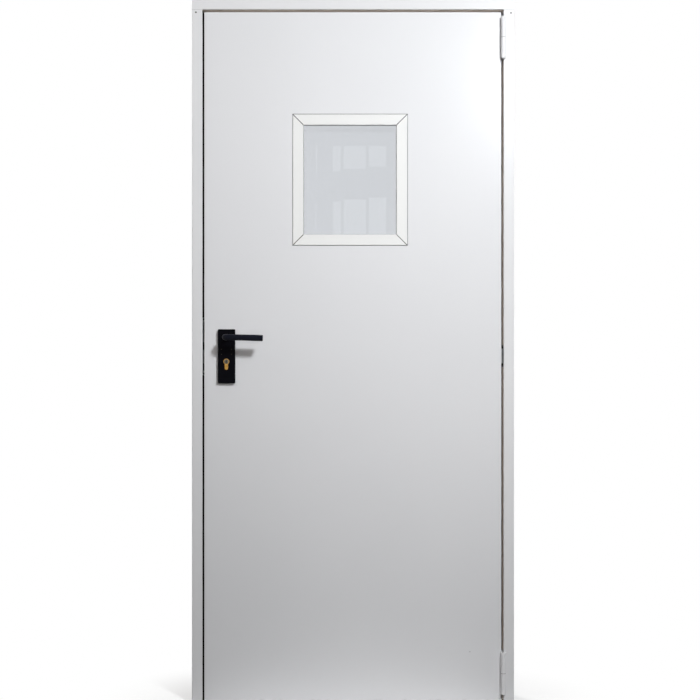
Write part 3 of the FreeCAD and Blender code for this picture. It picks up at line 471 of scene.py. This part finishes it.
labelStuds = {"radius": 1.3 * mm, "height": 0.5 * mm, "sunk": 0.05 * mm, "field": 0.6 * mm,
              "aside": 14.8 * mm, "heights": (56.1, 41.6)}
studY = plateLow.y + labelStuds["field"] + labelStuds["sunk"]
addRivets("labelFieldStuds", "leaf", "bronzeRivet", labelStuds,
          [((spindleX + side * labelStuds["aside"], studY, z * mm), facing["front"])
           for side in (-1, 1) for z in labelStuds["heights"]])

rearScrews = {"radius": 3.4 * mm, "height": 1.2 * mm, "sunk": 0.1 * mm,
              "heights": (108.5, -36.5)}
addScrews("rearPlateScrews", "leaf", "darkScrew", rearScrews,
          [((spindleX, rearPlateY - rearScrews["sunk"], z * mm), facing["rear"])
           for z in rearScrews["heights"]])

grubScrew = {"radius": 2.4 * mm, "long": 1 * mm, "proud": 0.3 * mm, "hexRadius": 1.25 * mm,
             "hexDeep": 1.2 * mm, "out": 7 * mm, "neck": 9 * mm}
neckFoot = spindleZ - grubScrew["neck"]
for name, y in (("leverGrubFront", plateLow.y - grubScrew["out"]),
                ("leverGrubRear", rearPlateY + grubScrew["out"])):
    grubZ = neckFoot + grubScrew["long"] / 2 - grubScrew["proud"]
    bpy.ops.mesh.primitive_cylinder_add(vertices=24, radius=grubScrew["radius"],
                                        depth=grubScrew["long"], rotation=facing["down"],
                                        location=(spindleX, y, grubZ))
    grub = bpy.context.object
    bpy.ops.mesh.primitive_cylinder_add(
        vertices=6, radius=grubScrew["hexRadius"], depth=grubScrew["hexDeep"],
        location=(spindleX, y, neckFoot - grubScrew["hexDeep"] / 2))
    cutOut(grub, bpy.context.object)
    settlePiece(grub, name, "lever", "darkScrew")
print("handle set details")

# Lock cylinder: the turning plug with its key slot, and a black pin row sunk in the slot as
# painted shade of its depth
plug = {"radius": 7.0 * mm, "height": 0.4 * mm, "sides": 48, "slotWide": 2.2 * mm,
        "slotTall": 8.6 * mm, "rim": 1.1 * mm, "groove": 0.35 * mm, "grooveDeep": 0.2 * mm,
        "down": 8.5 * mm}
pinShadeSize = {"fit": 0.98, "thick": 0.6 * mm, "sunk": 0.5 * mm, "cuts": 3, "gap": 0.15 * mm}
cylinderLow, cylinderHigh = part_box("lock_cylinder")
plugZ = cylinderHigh.z - plug["down"]


def cylinderPlug(name, faceY, outward):
    bpy.ops.mesh.primitive_cylinder_add(
        vertices=plug["sides"], radius=plug["radius"], depth=plug["height"],
        rotation=facing["front"], location=(spindleX, faceY + outward * plug["height"] / 2, plugZ))
    disc = bpy.context.object
    applyPlace()
    rimY = faceY + outward * plug["height"]
    bpy.ops.object.mode_set(mode="EDIT")
    pickParts(disc, "FACE", lambda face: abs(face.calc_center_median().y - rimY) < 0.001 * mm)
    bpy.ops.mesh.inset(thickness=plug["rim"], depth=0)
    bpy.ops.mesh.inset(thickness=plug["groove"], depth=-plug["grooveDeep"])
    bpy.ops.object.mode_set(mode="OBJECT")
    cutOut(disc, addBox((plug["slotWide"], through, plug["slotTall"]), (spindleX, faceY, plugZ)))
    settlePiece(disc, name, "leaf", "plugNickel")

    # a black row of pins in the slot: painted shade standing for the dark depth of the key slot
    pinShade = addBox((plug["slotWide"] * pinShadeSize["fit"], pinShadeSize["thick"],
                   plug["slotTall"] * pinShadeSize["fit"]),
                  (spindleX, faceY - outward * pinShadeSize["sunk"], plugZ))
    bpy.ops.object.mode_set(mode="EDIT")
    pickParts(pinShade, "FACE", lambda face: face.normal.y * outward > 0.5)
    bpy.ops.mesh.subdivide(number_cuts=pinShadeSize["cuts"])
    bpy.ops.mesh.inset(thickness=pinShadeSize["gap"], depth=-pinShadeSize["gap"], use_individual=True)
    bpy.ops.object.mode_set(mode="OBJECT")
    settlePiece(pinShade, name + "PinShade", "leaf", "blackZincAndSlotShade")


cylinderPlug("cylinderPlugFront", cylinderLow.y, -1)
cylinderPlug("cylinderPlugRear", cylinderHigh.y, 1)
print("lock cylinder plugs")

# Window: tape round the trims, sealant in their mitres, screws on the rear trims
frontTrim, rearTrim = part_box("window_trim_front_top"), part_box("window_trim_rear_top")
windowLow = Vector((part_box("window_trim_front_left")[0].x, 0,
                    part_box("window_trim_front_bottom")[0].z))
windowHigh = Vector((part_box("window_trim_front_right")[1].x, 0, frontTrim[1].z))

# the tape is wider along the lit right and top and narrower along the shaded left and bottom:
# painted shade that evens out the outline
edgeTape = {"left": 1.2 * mm, "right": 2.4 * mm, "bottom": 1.1 * mm, "top": 2.0 * mm,
            "tall": 0.7 * mm, "round": 0.2 * mm}


def trimTape(name, faceY, outward):  # a flat ring on the leaf, just outside the trims
    wide, high = windowHigh.x - windowLow.x, windowHigh.z - windowLow.z
    middle = Vector(((windowLow.x + windowHigh.x) / 2, faceY + outward * edgeTape["tall"] / 2,
                     (windowLow.z + windowHigh.z) / 2))
    shift = Vector((edgeTape["right"] - edgeTape["left"], 0,
                    edgeTape["top"] - edgeTape["bottom"])) / 2
    ring = addBox((wide + edgeTape["left"] + edgeTape["right"], edgeTape["tall"],
                   high + edgeTape["bottom"] + edgeTape["top"]), middle + shift)
    cutOut(ring, addBox((wide, through, high), middle))
    topY = edgeTape["tall"] * nearTop
    bevelEdges(ring, lambda edge: all((vert.co.y - faceY) * outward > topY for vert in edge.verts),
               edgeTape["round"], 2)
    bpy.ops.object.mode_set(mode="EDIT")
    bpy.ops.mesh.select_all(action="SELECT")
    bpy.ops.mesh.bisect(plane_co=windowHigh, plane_no=(0, 0, 1), threshold=0.01 * mm)
    bpy.ops.object.mode_set(mode="OBJECT")
    settlePiece(ring, name, "leaf", "greyTape")
    ring.data.materials.append(finishes["tapePaintedShade"])  # painted shade: the top band takes the darker tape, to offset the lamp's light on it
    for face in ring.data.polygons:
        face.material_index = int(face.center.z > windowHigh.z)


trimTape("trimTapeFront", leafFrontY, -1)
trimTape("trimTapeRear", leafRearY, 1)

mitreSealant = {"wide": 2.4 * mm, "proud": 0.1 * mm, "trimThick": 3 * mm, "short": 1 * mm,
                "round": 0.3 * mm}


def mitreBars(name, faceY, outward, border):  # a dark bar of sealant in each of the four mitres
    depth = mitreSealant["trimThick"] + mitreSealant["proud"]
    length = (border - mitreSealant["short"]) * math.sqrt(2)
    bar = addBox((length, depth, mitreSealant["wide"]))
    bevelEdges(bar, lambda edge: all(vert.co.y * outward > 0 for vert in edge.verts)
               and runsAlongX(edge, length / 2), mitreSealant["round"], 2)
    half = border / 2
    spots = []
    for x, side in ((windowLow.x + half, 1), (windowHigh.x - half, -1)):
        for z, rise in ((windowLow.z + half, 1), (windowHigh.z - half, -1)):
            spots.append(((x, faceY + outward * depth / 2, z),
                          (0, -side * rise * quarter / 2, 0)))
    settlePiece(copyToSpots(bar, spots), name, "leaf", "glazingRubber")


mitreBars("mitreSealantFront", leafFrontY, -1, frontTrim[1].z - frontTrim[0].z)
mitreBars("mitreSealantRear", leafRearY, 1, rearTrim[1].z - rearTrim[0].z)

trimScrews = {"radius": 2.8 * mm, "height": 0.8 * mm, "sunk": 0.1 * mm, "inset": 9.5 * mm,
              "across": (60, 170.25, 280.5), "up": (70, 194.65, 319.3)}
screwY = rearTrim[1].y - trimScrews["sunk"]
spots = [((windowLow.x + x * mm, screwY, z), facing["rear"]) for x in trimScrews["across"]
         for z in (windowLow.z + trimScrews["inset"], windowHigh.z - trimScrews["inset"])]
spots += [((x, screwY, windowLow.z + z * mm), facing["rear"]) for z in trimScrews["up"]
          for x in (windowLow.x + trimScrews["inset"], windowHigh.x - trimScrews["inset"])]
addScrews("trimScrewsRear", "leaf", "anodisedScrew", trimScrews, spots)
print("window tapes and screws")


# Floor: pale to the eye, with the door's shadow in a pool round its foot
floorPlan = {
    "size": 60, "middleX": -0.48, "poolX": 0.80, "poolY": 0.40,  # metres
    "shadow": 0.84,  # how much of the shaded floor shows at the door's foot, white further out
    "seen": 0.80, "near": 0.90, "far": 0.0,  # its colour to the eye, and as light thrown back
    "fadeEnd": 0.6, "backStart": 0.2, "rough": 0.9,
}


def cameraLike(tree):  # 1 for camera, glossy and transmission rays
    path = addNode(tree, "ShaderNodeLightPath")
    first = addNode(tree, "ShaderNodeMath", operation="MAXIMUM")
    both = addNode(tree, "ShaderNodeMath", operation="MAXIMUM")
    tree.links.new(path.outputs["Is Camera Ray"], first.inputs[0])
    tree.links.new(path.outputs["Is Glossy Ray"], first.inputs[1])
    tree.links.new(first.outputs[0], both.inputs[0])
    tree.links.new(path.outputs["Is Transmission Ray"], both.inputs[1])
    return both.outputs[0]


selectNothing()
bpy.ops.mesh.primitive_plane_add(size=floorPlan["size"],
                                 location=(floorPlan["middleX"], 0, jambLow.z))
floor = bpy.context.object
applyPlace()
floor.name = "studioFloor"
floorFinish, tree, shader = newFinish("studioFloorWhite")
shader.inputs["Roughness"].default_value = floorPlan["rough"]
shader.inputs["Specular IOR Level"].default_value = 0
pool = addNode(tree, "ShaderNodeTexGradient", gradient_type="SPHERICAL")
poolPlace = (-floorPlan["middleX"] / floorPlan["poolX"], 0, -jambLow.z)
poolScale = (1 / floorPlan["poolX"], 1 / floorPlan["poolY"], 1)
tree.links.new(objectMapping(tree, poolPlace, poolScale), pool.inputs["Vector"])
back = addNode(tree, "ShaderNodeMapRange", interpolation_type="SMOOTHSTEP")
back.inputs["From Min"].default_value = floorPlan["backStart"]
back.inputs["From Max"].default_value = floorPlan["fadeEnd"]
back.inputs["To Min"].default_value = floorPlan["far"]
back.inputs["To Max"].default_value = floorPlan["near"]
tree.links.new(pool.outputs["Fac"], back.inputs["Value"])
tones = addNode(tree, "ShaderNodeMapRange")
tones.inputs["To Max"].default_value = floorPlan["seen"]
tree.links.new(cameraLike(tree), tones.inputs["Value"])
tree.links.new(back.outputs["Result"], tones.inputs["To Min"])
tree.links.new(tones.outputs["Result"], shader.inputs["Base Color"])
fade = addNode(tree, "ShaderNodeMapRange", interpolation_type="SMOOTHSTEP")
fade.inputs["From Max"].default_value = floorPlan["fadeEnd"]
fade.inputs["To Min"].default_value = 1
fade.inputs["To Max"].default_value = 1 - floorPlan["shadow"]
tree.links.new(pool.outputs["Fac"], fade.inputs["Value"])
share = addNode(tree, "ShaderNodeMath", operation="MULTIPLY")
tree.links.new(fade.outputs["Result"], share.inputs[0])
tree.links.new(cameraLike(tree), share.inputs[1])
plainWhite = addNode(tree, "ShaderNodeEmission")
mixWhite = addNode(tree, "ShaderNodeMixShader")
tree.links.new(share.outputs[0], mixWhite.inputs["Fac"])
tree.links.new(shader.outputs["BSDF"], mixWhite.inputs[1])
tree.links.new(plainWhite.outputs["Emission"], mixWhite.inputs[2])
tree.links.new(mixWhite.outputs["Shader"], tree.nodes["Material Output"].inputs["Surface"])
floor.data.materials.append(floorFinish)

# World: a soft light on the door, white to the eye and in reflections
softLight = {"colour": (1.0, 0.93, 0.88), "strength": 0.06}
world = bpy.data.worlds.new("studioWorld")
bpy.context.scene.world = world
world.use_nodes = True
tree = world.node_tree
soft = tree.nodes["Background"]
soft.inputs["Color"].default_value = (*softLight["colour"], 1)
soft.inputs["Strength"].default_value = softLight["strength"]
white = addNode(tree, "ShaderNodeBackground")
white.inputs["Color"].default_value = (1, 1, 1, 1)
white.inputs["Strength"].default_value = 1
mixWorld = addNode(tree, "ShaderNodeMixShader")
tree.links.new(cameraLike(tree), mixWorld.inputs["Fac"])
tree.links.new(soft.outputs["Background"], mixWorld.inputs[1])
tree.links.new(white.outputs["Background"], mixWorld.inputs[2])
tree.links.new(mixWorld.outputs["Shader"], tree.nodes["World Output"].inputs["Surface"])
print("floor and world")

# Lamps: the glass would mirror those that aren't glossy, and the sheen lamp gives gloss alone
lampPlans = {
    "keyLamp": {"place": (0.57, -1.93, 1.66), "aim": (-4.50, -0.045, -4.60), "size": 0.42,
                "power": 81, "colour": (0.965, 0.985, 1.0), "glossy": False, "diffuse": True},
    "fillLamp": {"place": (-2.2, -1.2, 1.7), "aim": (-0.80, -0.045, 0.80), "size": 1.2,
                 "power": 7.8, "colour": (1.0, 0.93, 0.90), "glossy": True, "diffuse": True},
    "middleLamp": {"place": (-0.22, -1.60, 0.10), "aim": (-0.22, -0.045, 0.10), "size": 1.0,
                   "power": 5.8, "colour": (1.0, 0.96, 0.935), "glossy": False, "diffuse": True},
    "rearLamp": {"place": (-2.3, 2.6, 1.6), "aim": (-0.55, 0.05, 0.0), "size": 1.4,
                 "power": 110, "colour": (1.0, 0.99, 0.975), "glossy": True, "diffuse": True},
    "sideLamp": {"place": (2.6, 0.9, 0.8), "aim": (0.0, 0.0, 0.1), "size": 1.4,
                 "power": 24, "colour": (1.0, 0.99, 0.975), "glossy": False, "diffuse": True},
    "sheenLamp": {"place": (0.57, -1.93, 1.43), "aim": (-0.20, -0.045, 0.60), "size": 0.42,
                  "power": 30, "colour": (0.965, 0.985, 1.0), "glossy": True, "diffuse": False},
}
for name, plan in lampPlans.items():
    bpy.ops.object.light_add(type="AREA", location=plan["place"])
    lamp = bpy.context.object
    lamp.name = name
    lamp.data.shape = "DISK"
    lamp.data.size = plan["size"]
    lamp.data.energy = plan["power"]
    lamp.data.color = plan["colour"]
    beam = Vector(plan["aim"]) - Vector(plan["place"])
    lamp.rotation_euler = beam.to_track_quat("-Z", "Y").to_euler()
    lamp.visible_camera = False
    lamp.visible_transmission = False
    lamp.visible_glossy = plan["glossy"]
    lamp.visible_diffuse = plan["diffuse"]

# Bright panes far in front of the door, seen only as a reflection in its glass
brightPanes = {
    "y": -20, "strength": 2.1, "tint": (0.94, 1.0, 0.99),
    "spans": (  # lowest and highest X, then lowest and highest Z
        (-0.890, -0.705, 4.250, 4.849), (-0.637, -0.115, 4.312, 4.849),
        (-0.046, 0.359, 4.359, 4.849), (-0.890, -0.705, 2.775, 3.545),
        (-0.637, -0.115, 2.775, 3.591), (-0.046, 0.359, 2.775, 3.638),
        (-1.290, -1.262, 4.190, 4.870), (-1.300, -1.282, 2.800, 3.490)),
}
paneFinish, tree, shader = newFinish("brightPaneGlow")
glow = addNode(tree, "ShaderNodeEmission")
glow.inputs["Strength"].default_value = brightPanes["strength"]
glow.inputs["Color"].default_value = (*brightPanes["tint"], 1)
tree.links.new(glow.outputs["Emission"], tree.nodes["Material Output"].inputs["Surface"])
for number, (lowX, highX, lowZ, highZ) in enumerate(brightPanes["spans"]):
    bpy.ops.mesh.primitive_plane_add(
        size=1, location=((lowX + highX) / 2, brightPanes["y"], (lowZ + highZ) / 2),
        rotation=facing["rear"])
    pane = bpy.context.object
    pane.scale = (highX - lowX, highZ - lowZ, 1)
    pane.name = "brightPane%d" % number
    pane.data.materials.append(paneFinish)
    pane.visible_camera = False
    pane.visible_diffuse = False
    pane.visible_transmission = False
    pane.visible_shadow = False
print("lamps and reflected panes")

viewpoint = {"place": (-0.4889, -2.9435, 0.0543), "lens": 50.03, "sensor": 36, "reach": 100}
bpy.ops.object.camera_add(location=viewpoint["place"], rotation=(quarter, 0, 0))
camera = bpy.context.object
camera.name = "photoCamera"
camera.data.lens = viewpoint["lens"]
camera.data.sensor_width = viewpoint["sensor"]
camera.data.clip_end = viewpoint["reach"]
bpy.context.scene.camera = camera
bpy.context.scene.view_settings.view_transform = "Standard"
print("camera")

selectNothing()
